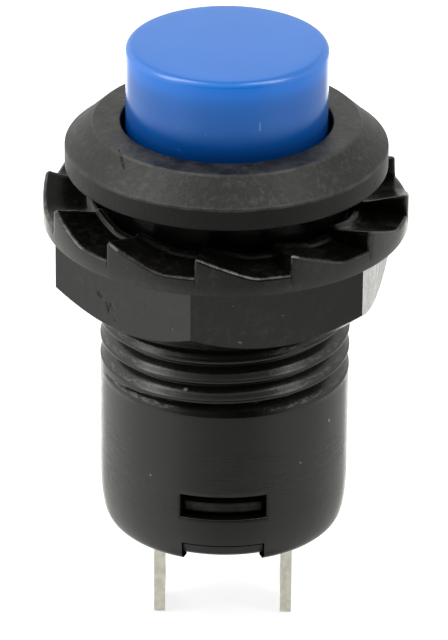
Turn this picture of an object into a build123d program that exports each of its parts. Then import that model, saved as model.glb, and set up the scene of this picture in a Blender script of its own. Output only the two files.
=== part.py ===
from build123d import *
import math
import os

# ---------------------------------------------------------------------------
# Latching push button switch for a 12 mm panel hole.
# Frame: +Z towards the button, axis on X = Y = 0, Z = 0 on the underside of the
# bezel flange (the panel's outer face). -Y is the side with the latch pin.
# All dimensions in millimetres.
# ---------------------------------------------------------------------------

# bezel and barrel
BEZEL_R = 7.56            # flange radius
BEZEL_RIM_TOP = 1.02      # top of the vertical rim
BEZEL_LAND_R = 6.26       # outer edge of the flat land round the button
BEZEL_TOP = 2.25          # height of the land
BUTTON_HOLE_R = 4.95      # hole the cap travels in
BARREL_R = 5.92           # M12 x 1 thread crests
BARREL_END = -10.35       # end of the thread
BODY_R = 5.91             # plain lower body
BODY_TAPER = [(5.90, -16.20), (5.87, -16.80), (5.81, -17.36), (5.68, -17.90), (5.53, -18.17), (5.36, -18.30)]
BODY_END = -18.30         # rim of the lower body
BASE_END = -18.0          # underside of the base, slightly sunk in the rim
MECH_R = 4.50             # mechanism chamber
MECH_TOP = -4.60
WEB_TOP = -2.60           # guide web between the button recess and the chamber
BASE_SEAT_R = 4.95        # socket for the terminal base
BASE_SEAT_Z = -14.30
GUIDE_SQ = 4.20           # square guide hole for the stem

# snap windows (front and back) and key notches in the lower body
WINDOW_W = 4.10
WINDOW_Z0, WINDOW_Z1 = -15.82, -14.63
NOTCH_W = 3.90
NOTCH_Z = -17.24

# button travel
TRAVEL = 2.80             # full stroke of the button
BRIDGE_TRAVEL = 1.19      # stroke of the contact bridge

# cap
CAP_R = 4.72
CAP_TOP = 6.07
CAP_BOTTOM = 0.60
CAP_WALL = 0.80
CAP_ROOF = 1.00
CAP_EDGE = 0.38           # edge radius of the top
BOSS_R = 2.45             # socket boss under the cap's roof
BOSS_BOTTOM = 2.40
TENON = 2.60

# plunger
STEM_SQ = 4.00
COLLAR_R = 4.20
COLLAR_TOP = MECH_TOP - 0.05
COLLAR_BOTTOM = -5.30
BLOCK_X, BLOCK_Y = 5.60, 5.00
BLOCK_BOTTOM = -9.20
TAIL_X, TAIL_Y = 3.40, 4.00
TAIL_BOTTOM = -12.80
SLOT_Z0, SLOT_Z1 = -12.00, -9.70   # slot the bridge floats in
SLOT_W = 2.20
CONTACT_SPRING_BORE_R = 1.30
CONTACT_SPRING_TOP = -8.00
TRACK_DEPTH = 0.80

# latch pin: bent wire, pivots in the base's post and follows the track
PIN_R = 0.30
PIN_Y = -3.45
PIN_PIVOT_Z = -13.40
PIN_TIP_Z = -8.60
PIN_SWING_X = 1.00        # sideways travel of the tip over the full stroke

# contact bridge
BRIDGE_L, BRIDGE_W, BRIDGE_T = 7.70, 2.00, 0.40
BRIDGE_Z0 = -11.95
CONTACT_X = 3.10
BRIDGE_TIP_R, BRIDGE_TIP_H = 0.65, 0.30
FIXED_TIP_R, FIXED_TIP_H = 0.72, 0.30

# terminals
BLADE_X0, BLADE_X1 = 2.775, 3.325
BLADE_W = 2.00
BLADE_END = -23.58
TAB_Z0, TAB_Z1 = -14.30, -13.80
EYELET_R = 0.55
EYELET_Z = -21.90

# base
BASE_R = 4.93
WELL_X, WELL_Y = 3.80, 4.40
WELL_BOTTOM = -16.20
SNAP_R = 5.60
TAB_NOSE_Z0, TAB_NOSE_Z1 = -15.73, -15.01
KEY_R = 5.60

# panel nut
NUT_BORE_R = 5.98
NUT_MOUTH_R = 6.42
NUT_R = 8.58
NUT_VALLEY_Z = -1.94
NUT_PEAK_OUT_Z = -0.92
NUT_PEAK_IN_Z = -1.50
NUT_RING_BOTTOM = -2.84
NUT_HEX_AF = 14.52
NUT_BOTTOM = -6.25
NUT_CHAMFER_R = 7.15       # where the corner chamfer meets the bottom
NUT_CHAMFER_RISE = 0.85    # height gained per radius
NUT_TEETH = 12
TOOTH_PEAK_DEG = -9.5     # direction of a tooth's upright face, from -Y towards +X
TOOTH_RAMP_DEG = 18.5
HEX_CORNER_DEG = -10.9    # direction of a hexagon corner, from -Y towards +X


def cyl(r, z0, z1):
    return Pos(0, 0, z0) * Cylinder(r, z1 - z0, align=(Align.CENTER, Align.CENTER, Align.MIN))


def block(x0, x1, y0, y1, z0, z1):
    return Pos((x0 + x1) / 2, (y0 + y1) / 2, (z0 + z1) / 2) * Box(x1 - x0, y1 - y0, z1 - z0)


def bar(sx, sy, z0, z1, r=0.0):
    """Upright bar on the axis, with rounded corners."""
    b = block(-sx / 2, sx / 2, -sy / 2, sy / 2, z0, z1)
    if r:
        b = fillet(b.edges().filter_by(Axis.Z), r)
    return b


def turned(points):
    """Solid of revolution from (radius, z) points."""
    pts = [(r, 0, z) for r, z in points]
    face = make_face(Polyline(*pts, close=True))
    return revolve(face, Axis.Z, 360)


def at(theta_deg):
    """Angle about Z of a direction given from -Y towards +X."""
    return theta_deg - 90.0


def wedge(a0, a1, z0, z1, r_in=3.0, r_out=14.0):
    """Upright four-sided prism between two directions, given from -Y towards +X."""
    pts = []
    for r, a in ((r_in, a0), (r_out, a0), (r_out, a1), (r_in, a1)):
        t = math.radians(at(a))
        pts.append((r * math.cos(t), r * math.sin(t), z0))
    return extrude(make_face(Polyline(*pts, close=True)), z1 - z0, dir=(0, 0, 1))


# --- housing: bezel, barrel and body in one moulding ------------------------
housing = turned([
    (BUTTON_HOLE_R + 0.10, BEZEL_TOP),
    (BEZEL_LAND_R - 0.08, BEZEL_TOP),
    (BEZEL_LAND_R + 0.07, BEZEL_TOP - 0.06),
    (BEZEL_R - 0.08, BEZEL_RIM_TOP + 0.07),
    (BEZEL_R, BEZEL_RIM_TOP - 0.04),
    (BEZEL_R, 0.10),
    (BEZEL_R - 0.10, 0.0),
    (BARREL_R - 0.12, 0.0),
    (BARREL_R, -0.12),
    (BARREL_R, BARREL_END + 0.25),
    (BODY_R, BARREL_END),
    *BODY_TAPER,
    (BASE_SEAT_R + 0.05, BODY_END),
    (BASE_SEAT_R, BODY_END + 0.05),
    (BASE_SEAT_R, BASE_SEAT_Z),
    (MECH_R, BASE_SEAT_Z),
    (MECH_R, MECH_TOP),
    (0.0, MECH_TOP),
    (0.0, WEB_TOP),
    (BUTTON_HOLE_R, WEB_TOP),
    (BUTTON_HOLE_R, BEZEL_TOP - 0.10),
])
housing -= bar(GUIDE_SQ, GUIDE_SQ, MECH_TOP - 1, WEB_TOP + 1, 0.30)
for s in (-1, 1):
    y0, y1 = sorted((s * 4.0, s * 7.0))
    window = block(-WINDOW_W / 2, WINDOW_W / 2, y0, y1, WINDOW_Z0, WINDOW_Z1)
    window = fillet(window.edges().filter_by(Axis.Y), 0.18)
    notch = block(-NOTCH_W / 2, NOTCH_W / 2, y0, y1, BODY_END - 1, NOTCH_Z)
    notch = fillet(notch.edges().filter_by(Axis.Y), 0.18)
    housing -= window
    housing -= notch

# --- push cap -----------------------------------------------------------------
push_cap = cyl(CAP_R, CAP_BOTTOM, CAP_TOP)
push_cap = fillet(push_cap.edges().filter_by(GeomType.CIRCLE).sort_by(Axis.Z)[-1:], CAP_EDGE)
push_cap -= cyl(CAP_R - CAP_WALL, CAP_BOTTOM - 1, CAP_TOP - CAP_ROOF)
push_cap += cyl(BOSS_R, BOSS_BOTTOM, CAP_TOP - CAP_ROOF)
push_cap -= bar(TENON + 0.02, TENON + 0.02, BOSS_BOTTOM - 1, CAP_TOP - CAP_ROOF)
# four stiffening webs between the boss and the skirt, above the spring's seat
for a in (45, 135, 225, 315):
    push_cap += Rot(0, 0, a) * block(BOSS_R - 0.2, CAP_R - CAP_WALL + 0.2, -0.35, 0.35, CAP_TOP - CAP_ROOF - 0.50, CAP_TOP - CAP_ROOF)

# --- plunger --------------------------------------------------------------------
plunger = bar(TENON, TENON, BOSS_BOTTOM - 0.5, CAP_TOP - CAP_ROOF - 0.10)
plunger += bar(STEM_SQ, STEM_SQ, COLLAR_TOP - 0.3, BOSS_BOTTOM, 0.30)
collar = cyl(COLLAR_R, COLLAR_BOTTOM, COLLAR_TOP)
collar -= block(-5, 5, -5, -BLOCK_Y / 2, COLLAR_BOTTOM - 1, COLLAR_TOP + 1)   # flat that clears the pin
plunger += collar
plunger += bar(BLOCK_X, BLOCK_Y, BLOCK_BOTTOM, COLLAR_BOTTOM)
plunger += bar(TAIL_X, TAIL_Y, TAIL_BOTTOM, BLOCK_BOTTOM)
plunger -= block(-5, 5, -SLOT_W / 2, SLOT_W / 2, SLOT_Z0, SLOT_Z1)
plunger -= cyl(CONTACT_SPRING_BORE_R, SLOT_Z1 - 0.5, CONTACT_SPRING_TOP)
# heart-shaped track in the front face, with its island
TRACK_OUT = [(-0.42, -8.98), (0.42, -8.98), (1.00, -8.20), (1.62, -7.30), (1.62, -6.00),
             (1.20, -5.40), (-1.30, -5.40), (-1.62, -5.80), (-1.62, -7.20), (-1.05, -8.15)]
TRACK_ISLAND = [(0.14, -7.72), (-0.10, -7.05), (-0.10, -6.62), (0.26, -6.86), (0.74, -6.40),
                (0.92, -6.62), (0.84, -7.10)]
y_face = -BLOCK_Y / 2


def prism_y(points, y0, y1):
    return extrude(make_face(Polyline(*[(x, y0, z) for x, z in points], close=True)), y1 - y0, dir=(0, 1, 0))


track = prism_y(TRACK_OUT, y_face - 0.5, y_face + TRACK_DEPTH)
track -= prism_y(TRACK_ISLAND, y_face - 0.6, y_face + TRACK_DEPTH + 0.1)
plunger -= track

# --- terminal base ----------------------------------------------------------------
base = cyl(BASE_R, BASE_END, BASE_SEAT_Z)
base = chamfer(base.edges().filter_by(GeomType.CIRCLE).sort_by(Axis.Z)[:1], 0.15)
for s in (-1, 1):
    # snap tab: a rounded bar across the window, its ends cut back at the corners
    w = WINDOW_W / 2 - 0.10
    tab = extrude(make_face(Polyline((-w, -BASE_R + 0.6, TAB_NOSE_Z0), (-w, -5.00, TAB_NOSE_Z0), (-w + 0.55, -6.0, TAB_NOSE_Z0),
                                     (w - 0.55, -6.0, TAB_NOSE_Z0), (w, -5.00, TAB_NOSE_Z0), (w, -BASE_R + 0.6, TAB_NOSE_Z0),
                                     close=True)), TAB_NOSE_Z1 - TAB_NOSE_Z0, dir=(0, 0, 1))
    zm = (TAB_NOSE_Z0 + TAB_NOSE_Z1) / 2
    hm = (TAB_NOSE_Z1 - TAB_NOSE_Z0) / 2
    tab &= turned([(0, TAB_NOSE_Z0), (SNAP_R - 0.30, TAB_NOSE_Z0), (SNAP_R - 0.12, zm - 0.80 * hm), (SNAP_R - 0.03, zm - 0.50 * hm),
                   (SNAP_R, zm - 0.12 * hm), (SNAP_R - 0.02, zm + 0.25 * hm), (SNAP_R - 0.12, zm + 0.62 * hm),
                   (SNAP_R - 0.28, zm + 0.88 * hm), (SNAP_R - 0.42, TAB_NOSE_Z1), (0, TAB_NOSE_Z1)])
    # key that fills the notch and follows the body's round
    key = block(-NOTCH_W / 2 + 0.06, NOTCH_W / 2 - 0.06, -6.5, -BASE_R + 0.6, BASE_END, NOTCH_Z - 0.08)
    key &= turned([(0, NOTCH_Z - 0.08), (KEY_R - 0.12, NOTCH_Z - 0.08), (KEY_R, NOTCH_Z - 0.18), (KEY_R - 0.04, NOTCH_Z - 0.38),
                   (KEY_R - 0.16, NOTCH_Z - 0.62), (KEY_R - 0.30, BASE_END), (0, BASE_END)])
    rot = Rot(0, 0, 0 if s < 0 else 180)
    base += rot * tab
    base += rot * key
base -= bar(WELL_X, WELL_Y, WELL_BOTTOM, BASE_SEAT_Z + 1, 0.30)
# post that carries the latch pin's pivot
post = block(-1.10, 1.10, -3.05, -2.35, BASE_SEAT_Z - 0.3, -12.70)
post = fillet(post.edges().filter_by(Axis.Y).sort_by(Axis.Z)[-2:], 0.45)
base += post
base -= Pos(0, -2.7, PIN_PIVOT_Z) * Rot(90, 0, 0) * Cylinder(PIN_R + 0.05, 2.0)
# slot for the leaf that presses on the pin
base -= block(-1.12, 1.12, -4.145, -3.955, -15.32, BASE_SEAT_Z + 1)
# slots for the blades: a wider upper part stops each blade's shoulders
for s in (-1, 1):
    x0, x1 = sorted((s * (BLADE_X0 - 0.02), s * (BLADE_X1 + 0.02)))
    base -= block(x0, x1, -BLADE_W / 2 - 0.02, BLADE_W / 2 + 0.02, BASE_END - 1, BASE_SEAT_Z + 1)
    base -= block(x0, x1, -BLADE_W / 2 - 0.27, BLADE_W / 2 + 0.27, -16.6, BASE_SEAT_Z + 1)
# shallow recess in the underside
base -= bar(8.2, 3.4, BASE_END - 1, BASE_END + 0.35, 0.6) - bar(3.2, 4.4, BASE_END - 1, BASE_END + 0.35)
terminal_base = base


# --- terminals --------------------------------------------------------------------
def make_terminal(s):
    blade = block(BLADE_X0, BLADE_X1, -BLADE_W / 2, BLADE_W / 2, BLADE_END, TAB_Z1)
    # square end with its corners broken
    ends = blade.edges().filter_by(Axis.X).sort_by(Axis.Z)[:2]
    blade = chamfer(ends, 0.12)
    blade += block(BLADE_X0, BLADE_X1, -BLADE_W / 2 - 0.25, BLADE_W / 2 + 0.25, -16.58, -15.2)
    blade += block(BLADE_X0 - 0.45, BLADE_X1 + 0.50, -BLADE_W / 2, BLADE_W / 2, TAB_Z0, TAB_Z1)
    blade -= Pos((BLADE_X0 + BLADE_X1) / 2, 0, EYELET_Z) * Rot(0, 90, 0) * Cylinder(EYELET_R, 2.0)
    return blade if s > 0 else mirror(blade, Plane.YZ)


terminal_right = make_terminal(1)
terminal_left = make_terminal(-1)


def contact(x, r, h, z0, up):
    """Contact button with a domed face."""
    z = (lambda t: z0 + t) if up else (lambda t: z0 - t)
    return Pos(x, 0, 0) * turned([(0, z(0)), (r, z(0)), (r, z(h * 0.55)), (r * 0.8, z(h * 0.85)),
                                  (r * 0.45, z(h)), (0, z(h))])


fixed_contact_right = contact(CONTACT_X, FIXED_TIP_R, FIXED_TIP_H, TAB_Z1, True)
fixed_contact_left = contact(-CONTACT_X, FIXED_TIP_R, FIXED_TIP_H, TAB_Z1, True)

# --- contact bridge ------------------------------------------------------------------
bridge = block(-BRIDGE_L / 2, BRIDGE_L / 2, -BRIDGE_W / 2, BRIDGE_W / 2, BRIDGE_Z0, BRIDGE_Z0 + BRIDGE_T)
bridge = fillet(bridge.edges().filter_by(Axis.Z), 0.45)
bridge += cyl(0.62, BRIDGE_Z0 + BRIDGE_T, BRIDGE_Z0 + BRIDGE_T + 0.30)     # centres the spring
contact_bridge = bridge
bridge_contact_right = contact(CONTACT_X, BRIDGE_TIP_R, BRIDGE_TIP_H, BRIDGE_Z0, False)
bridge_contact_left = contact(-CONTACT_X, BRIDGE_TIP_R, BRIDGE_TIP_H, BRIDGE_Z0, False)

# --- latch pin: one bent wire ----------------------------------------------------------
pin_path = FilletPolyline((0, -2.42, PIN_PIVOT_Z), (0, PIN_Y, PIN_PIVOT_Z), (0, PIN_Y, PIN_TIP_Z),
                          (0, -1.90, PIN_TIP_Z), radius=0.45)
latch_pin = sweep(Plane(origin=(0, -2.42, PIN_PIVOT_Z), z_dir=(0, -1, 0)) * Circle(PIN_R), path=pin_path)

# --- latch spring: leaf that bears on the pin --------------------------------------------
LEAF_T = 0.15
leaf_line = [(-4.05, -15.30), (-4.05, -11.20), (-3.88, -9.45), (-4.02, -8.35)]
leaf_pts = [(y - LEAF_T / 2, z) for y, z in leaf_line] + [(y + LEAF_T / 2, z) for y, z in reversed(leaf_line)]
latch_spring = Pos(-1.10, 0, 0) * extrude(
    make_face(Polyline(*[(0, y, z) for y, z in leaf_pts], close=True)), 2.20, dir=(1, 0, 0))


# --- springs -----------------------------------------------------------------------------
def coil(mean_r, wire_r, z0, z1, turns):
    """Round-wire compression spring between two planes."""
    lo, hi = z0 + wire_r, z1 - wire_r
    h = hi - lo
    path = Helix(pitch=h / turns, height=h, radius=mean_r, center=(0, 0, lo))
    start = path @ 0
    tangent = path % 0
    return sweep(Plane(origin=start, z_dir=tangent) * Circle(wire_r), path=path, is_frenet=True)


RETURN_SPRING = dict(mean_r=3.20, wire_r=0.20, z0=WEB_TOP, z1=CAP_TOP - CAP_ROOF - 0.50, turns=6)
CONTACT_SPRING = dict(mean_r=0.92, wire_r=0.12, z0=BRIDGE_Z0 + BRIDGE_T, z1=CONTACT_SPRING_TOP, turns=6)
return_spring = coil(**RETURN_SPRING)
contact_spring = coil(**CONTACT_SPRING)

# --- panel nut: saw-tooth crown above a hexagon ----------------------------------------------
crown = cyl(NUT_R, NUT_RING_BOTTOM, -0.50)
crown = chamfer(crown.edges().filter_by(GeomType.CIRCLE).sort_by(Axis.Z)[:1], 0.12)
crown -= cyl(NUT_MOUTH_R, NUT_VALLEY_Z, 1)
a0 = math.radians(at(TOOTH_PEAK_DEG))
a1 = math.radians(at(TOOTH_PEAK_DEG + TOOTH_RAMP_DEG))
p_out = Vector(NUT_R * math.cos(a0), NUT_R * math.sin(a0), NUT_PEAK_OUT_Z)
p_in = Vector(NUT_MOUTH_R * math.cos(a0), NUT_MOUTH_R * math.sin(a0), NUT_PEAK_IN_Z)
p_foot = Vector(NUT_R * math.cos(a1), NUT_R * math.sin(a1), NUT_VALLEY_Z)
normal = (p_out - p_in).cross(p_foot - p_in).normalized()
if normal.Z < 0:
    normal = normal * -1
# what is cut away beside one tooth: everything above its ramp, and the flat valley after it
above_ramp = wedge(TOOTH_PEAK_DEG, TOOTH_PEAK_DEG + TOOTH_RAMP_DEG + 1.0, NUT_VALLEY_Z, 1.0)
above_ramp &= Plane(origin=p_in, z_dir=normal) * Box(60, 60, 20, align=(Align.CENTER, Align.CENTER, Align.MIN))
valley = wedge(TOOTH_PEAK_DEG + TOOTH_RAMP_DEG, TOOTH_PEAK_DEG + 360.0 / NUT_TEETH, NUT_VALLEY_Z, 1.0)
cutter = above_ramp + valley
for i in range(NUT_TEETH):
    crown -= Rot(0, 0, 360.0 / NUT_TEETH * i) * cutter
hexagon = extrude(Plane(origin=(0, 0, NUT_BOTTOM)) * Rot(0, 0, at(HEX_CORNER_DEG)) *
                  RegularPolygon(NUT_HEX_AF / 2, 6, major_radius=False), NUT_RING_BOTTOM - NUT_BOTTOM + 0.2, dir=(0, 0, 1))
hex_cone = turned([(0, NUT_BOTTOM), (NUT_CHAMFER_R, NUT_BOTTOM),
                   (NUT_CHAMFER_R + 2.0, NUT_BOTTOM + 2.0 * NUT_CHAMFER_RISE), (NUT_CHAMFER_R + 2.0, 0), (0, 0)])
nut = (hexagon & hex_cone) + crown
# low rounded lip round the bore's mouth
nut += turned([(5.50, NUT_VALLEY_Z - 0.2), (5.50, NUT_VALLEY_Z + 0.10), (6.08, NUT_VALLEY_Z + 0.10), (6.17, NUT_VALLEY_Z + 0.19),
               (6.28, NUT_VALLEY_Z + 0.22), (6.38, NUT_VALLEY_Z + 0.18), (6.47, NUT_VALLEY_Z + 0.09), (6.62, NUT_VALLEY_Z),
               (6.62, NUT_VALLEY_Z - 0.2)])
nut -= cyl(NUT_BORE_R, NUT_BOTTOM - 1, 1)
nut -= turned([(0, NUT_VALLEY_Z + 2), (NUT_BORE_R + 0.08, NUT_VALLEY_Z + 2), (NUT_BORE_R + 0.08, NUT_VALLEY_Z + 0.08),
               (NUT_BORE_R, NUT_VALLEY_Z - 0.02), (0, NUT_VALLEY_Z - 0.02)])
nut -= turned([(0, NUT_BOTTOM - 1), (NUT_BORE_R + 0.28, NUT_BOTTOM - 1), (NUT_BORE_R + 0.28, NUT_BOTTOM),
               (NUT_BORE_R, NUT_BOTTOM + 0.28), (0, NUT_BOTTOM + 0.28)])
panel_nut = nut

PARTS = {
    "housing": housing,
    "push_cap": push_cap,
    "plunger": plunger,
    "return_spring": return_spring,
    "latch_pin": latch_pin,
    "latch_spring": latch_spring,
    "contact_spring": contact_spring,
    "contact_bridge": contact_bridge,
    "bridge_contact_left": bridge_contact_left,
    "bridge_contact_right": bridge_contact_right,
    "fixed_contact_left": fixed_contact_left,
    "fixed_contact_right": fixed_contact_right,
    "terminal_left": terminal_left,
    "terminal_right": terminal_right,
    "terminal_base": terminal_base,
    "panel_nut": panel_nut,
}

os.makedirs("parts", exist_ok=True)
for name, shape in PARTS.items():
    export_step(shape, f"parts/{name}.step")
    print(name, len(shape.solids()), round(shape.volume, 4), shape.is_valid)
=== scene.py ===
import math

import bmesh
import bpy
from mathutils import Matrix, Vector, noise


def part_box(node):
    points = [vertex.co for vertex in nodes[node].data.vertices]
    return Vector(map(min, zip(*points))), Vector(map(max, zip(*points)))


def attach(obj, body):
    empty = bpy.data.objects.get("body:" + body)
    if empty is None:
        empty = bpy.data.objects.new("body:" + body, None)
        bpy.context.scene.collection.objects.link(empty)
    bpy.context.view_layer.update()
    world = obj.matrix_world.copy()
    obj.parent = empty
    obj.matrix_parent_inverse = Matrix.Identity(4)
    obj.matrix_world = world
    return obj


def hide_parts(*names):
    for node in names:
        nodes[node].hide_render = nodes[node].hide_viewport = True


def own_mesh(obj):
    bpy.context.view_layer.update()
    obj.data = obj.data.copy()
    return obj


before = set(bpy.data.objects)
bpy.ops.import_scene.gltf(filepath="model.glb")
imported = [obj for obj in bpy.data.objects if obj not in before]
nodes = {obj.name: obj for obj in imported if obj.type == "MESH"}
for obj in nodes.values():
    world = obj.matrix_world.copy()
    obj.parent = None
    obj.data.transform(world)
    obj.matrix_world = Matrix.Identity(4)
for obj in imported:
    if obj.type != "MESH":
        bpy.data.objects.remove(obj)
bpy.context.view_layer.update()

MM = 0.001
scene = bpy.context.scene


# ---------------------------------------------------------------------------
# helpers. Directions are given as degrees from -Y towards +X.
# ---------------------------------------------------------------------------
def polar(r, deg, z):
    t = math.radians(deg)
    return (r * math.sin(t), -r * math.cos(t), z)


def smooth(a, b, x):
    if a == b:
        return 1.0 if x >= b else 0.0
    t = max(0.0, min(1.0, (x - a) / (b - a)))
    return t * t * (3 - 2 * t)


def lerp(a, b, t):
    return a + (b - a) * t


def angles(special, step, tol=0.4):
    """Sorted directions over a full turn: the special ones, and a regular set away from them."""
    special = sorted({round(((a + 180) % 360) - 180, 5) for a in special})
    out = list(special)
    n = round(360 / step)
    for i in range(n):
        a = -180 + 360 * i / n
        if all(min(abs(a - s), 360 - abs(a - s)) > tol * step for s in special):
            out.append(a)
    return sorted(out)


def finish_mesh(name, bm, body, replaces, sharp=35.0, merge=1e-6, recalc=True):
    bmesh.ops.remove_doubles(bm, verts=bm.verts, dist=merge)
    bmesh.ops.dissolve_degenerate(bm, edges=bm.edges, dist=merge * 0.5)
    if recalc:
        bmesh.ops.recalc_face_normals(bm, faces=bm.faces)
    for v in bm.verts:
        v.co *= MM
    me = bpy.data.meshes.new(name)
    bm.to_mesh(me)
    bm.free()
    ob = bpy.data.objects.new(name, me)
    scene.collection.objects.link(ob)
    for p in me.polygons:
        p.use_smooth = True
    if sharp:
        me.set_sharp_from_angle(angle=math.radians(sharp))
    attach(ob, body)
    if replaces:
        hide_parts(*replaces)
    return ob


def bevel(ob, width, segments=2, angle=30.0, harden=True):
    m = ob.modifiers.new("edge_round", "BEVEL")
    m.width = width * MM
    m.segments = segments
    m.limit_method = "ANGLE"
    m.angle_limit = math.radians(angle)
    m.harden_normals = harden
    m.use_clamp_overlap = True
    return m


def arc(cx, cz, r, a0, a1, n):
    """Points (radius, z) along an arc, angles in degrees from +radius towards +z."""
    return [(cx + r * math.cos(math.radians(lerp(a0, a1, i / n))),
             cz + r * math.sin(math.radians(lerp(a0, a1, i / n)))) for i in range(n + 1)]


def lathe(bm, rows, thetas, closed=True, skip=None):
    """rows: functions of the direction giving (r, z), or (r, z) pairs. Returns the vertices by row and column."""
    grid = []
    for row in rows:
        line = []
        for a in thetas:
            r, z = row(a) if callable(row) else row
            line.append(bm.verts.new(polar(r, a, z)))
        grid.append(line)
    n, m = len(rows), len(thetas)
    for i in range(n if closed else n - 1):
        k = (i + 1) % n
        for j in range(m):
            l = (j + 1) % m
            if skip and skip(i, j):
                continue
            bm.faces.new((grid[i][j], grid[i][l], grid[k][l], grid[k][j]))
    return grid


# ---------------------------------------------------------------------------
# housing: bezel, threaded barrel and body, one moulding
# ---------------------------------------------------------------------------
PITCH = 1.03
CREST_R, THREAD_BOTTOM = 5.92, -10.42
CREST_Z0 = -7.50            # a crest's height at the front
GROOVE_END = -74.0 - 720.0  # where the last groove runs out, as a running angle
BODY_TOP_R = 5.905
NECK_R = 5.62               # relief between the flange and the first thread
CLAMP = -10.06              # below this the rows are level

# one pitch of the thread, from a crest downwards: (drop, depth) in millimetres. The lower flank is steep,
# and above the next crest lies a land that leans back a little.
PROFILE = [(0.0, 0.0), (0.045, 0.001), (0.070, 0.010), (0.090, 0.030), (0.110, 0.060), (0.17, 0.164), (0.26, 0.320),
           (0.36, 0.485), (0.39, 0.518), (0.425, 0.530), (0.46, 0.515), (0.49, 0.480), (0.56, 0.380), (0.63, 0.290),
           (0.67, 0.243), (0.70, 0.213), (0.73, 0.188), (0.77, 0.160), (0.87, 0.095), (0.955, 0.038), (0.98, 0.012),
           (1.005, 0.001)]
PHASE = [q / PITCH for q, _ in PROFILE]


def groove(drop):
    pts = PROFILE + [(PITCH, 0.0)]
    for (s0, d0), (s1, d1) in zip(pts, pts[1:]):
        if drop <= s1:
            return lerp(d0, d1, (drop - s0) / (s1 - s0))
    return 0.0


def thread_r(theta, z):
    h = (CREST_Z0 - z) / PITCH + theta / 360.0       # pitches below the crest at this direction
    drop = (h - math.floor(h + 1e-9)) * PITCH
    running = theta - 360.0 * math.floor(h + 1e-9)
    fade = max(0.0, min(1.0, (running - GROOVE_END) / 46.0))
    cut = max(0.0, groove(max(0.0, drop)) - (1.0 - fade) * 0.53)
    # plain relieved neck under the flange
    neck = lerp(NECK_R, CREST_R, smooth(-2.15, -2.40, z))
    cut *= smooth(-2.05, -2.45, z)
    r = min(CREST_R - cut, neck)
    # the plain body's top edge leans back too
    if z <= THREAD_BOTTOM + 0.02:
        body = BODY_TOP_R - 0.10 * max(0.0, z - THREAD_BOTTOM)
    elif z <= THREAD_BOTTOM + 0.28:
        body = BODY_TOP_R - 0.002 - 0.40 * (z - THREAD_BOTTOM - 0.02)
    else:
        body = BODY_TOP_R - 0.106 - 1.54 * (z - THREAD_BOTTOM - 0.28)
    return max(r, body)


def square_r(half, corner):
    def f(a):
        t = math.radians(a)
        c, s = abs(math.cos(t)), abs(math.sin(t))
        r = half / max(c, s)
        x, y = r * s, r * c
        q = half - corner
        if x > q and y > q:      # in the rounded corner: distance to the corner's arc
            d = math.atan2(min(x, y), max(x, y))
            # ray at angle d from the axis against the circle round (q, q)
            b = q * (math.cos(d) + math.sin(d))
            return b + math.sqrt(max(b * b - 2 * q * q + corner * corner, 0.0))
        return r
    return f


WIN_T = math.degrees(math.asin(2.05 / 5.91))       # half width of the windows, as a direction
WIN_Z0, WIN_Z1 = -15.82, -14.63
WIN_B = 0.05
NOTCH_T = math.degrees(math.asin(1.95 / 5.75))
NOTCH_Z = -17.24
th_h = []
for c in (0.0, 180.0):
    for s in (-1, 1):
        th_h += [c + s * WIN_T, c + s * (WIN_T + 0.55), c + s * NOTCH_T]
for c in (45, 135, -45, -135):
    th_h += [c, c - 5.3, c + 5.3]
TH_H = angles(th_h, 1.8)


BODY_LINE = [(-10.42, 5.905), (-10.46, 5.908), (-16.00, 5.910), (-16.30, 5.900), (-16.60, 5.884), (-16.85, 5.866),
             (-17.10, 5.842), (-17.36, 5.808), (-17.62, 5.762), (-17.82, 5.712), (-17.97, 5.655), (-18.09, 5.590),
             (-18.18, 5.515), (-18.25, 5.440), (-18.29, 5.365), (-18.30, 5.310)]


def body_r(z):
    """Radius of the plain lower body."""
    for (z0, r0), (z1, r1) in zip(BODY_LINE, BODY_LINE[1:]):
        if z >= z1:
            return lerp(r0, r1, max(0.0, (z0 - z) / (z0 - z1)))
    return BODY_LINE[-1][1]


rows, tags = [], []


def add(points, tag):
    for p in points:
        rows.append(p)
        tags.append(tag)


guide = square_r(2.10, 0.30)
add([lambda a: (guide(a), -2.68), lambda a: (guide(a) + 0.06, -2.60)], "web")
add(arc(4.80, -2.45, 0.15, -90, 0, 3), "recess")
add([(4.95, -1.2), (4.95, 0.6), (4.95, 1.8), (4.95, 2.09)], "recess")
add(arc(5.05, 2.15, 0.10, 180, 90, 4), "lip")
add([(5.35, 2.25), (5.8, 2.25)], "land")
add(arc(6.19, 2.15, 0.10, 90, 46, 4), "lip")
add([lambda a, s=s: (lerp(6.26, 7.50, s), lerp(2.222, 1.078, s)) for s in (0.0, 0.2, 0.4, 0.6, 0.8, 1.0)], "cone")
add(arc(7.47, 1.02, 0.09, 38, 0, 4), "rim")
add([(7.56, 0.8), (7.56, 0.45), (7.56, 0.10)], "rim")
add(arc(7.46, 0.10, 0.10, 0, -90, 4), "rim")
add([(7.0, 0.0), (6.4, 0.0), (6.02, 0.0)], "under")
add([(5.70, 0.0), (NECK_R, -0.02)], "under")
thread_top = len(rows) - 1
for z in (CLAMP, -10.085, -10.11, -10.14, -10.17, -10.21, -10.25, -10.29, -10.33, -10.37, -10.40, THREAD_BOTTOM):
    add([(lambda a, z=z: (thread_r(a, z), z))], "body")
body_zs = [-10.46, -10.7, -11.2, -11.8, -12.4, -13.0, -13.6, -14.1, WIN_Z1 + 0.25, WIN_Z1 + WIN_B, WIN_Z1 - 0.18,
           -15.22, WIN_Z0 + 0.18, WIN_Z0 - WIN_B, -16.05, -16.30, -16.60, -16.85, -17.05, NOTCH_Z, -17.42, -17.62, -17.82]
body_rows = {}
for z in body_zs:
    body_rows[z] = len(rows)
    add([(body_r(z), z)], "body")
add([(body_r(z), z) for z in (-17.97, -18.09, -18.18, -18.25, -18.29, -18.30)], "body")
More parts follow.
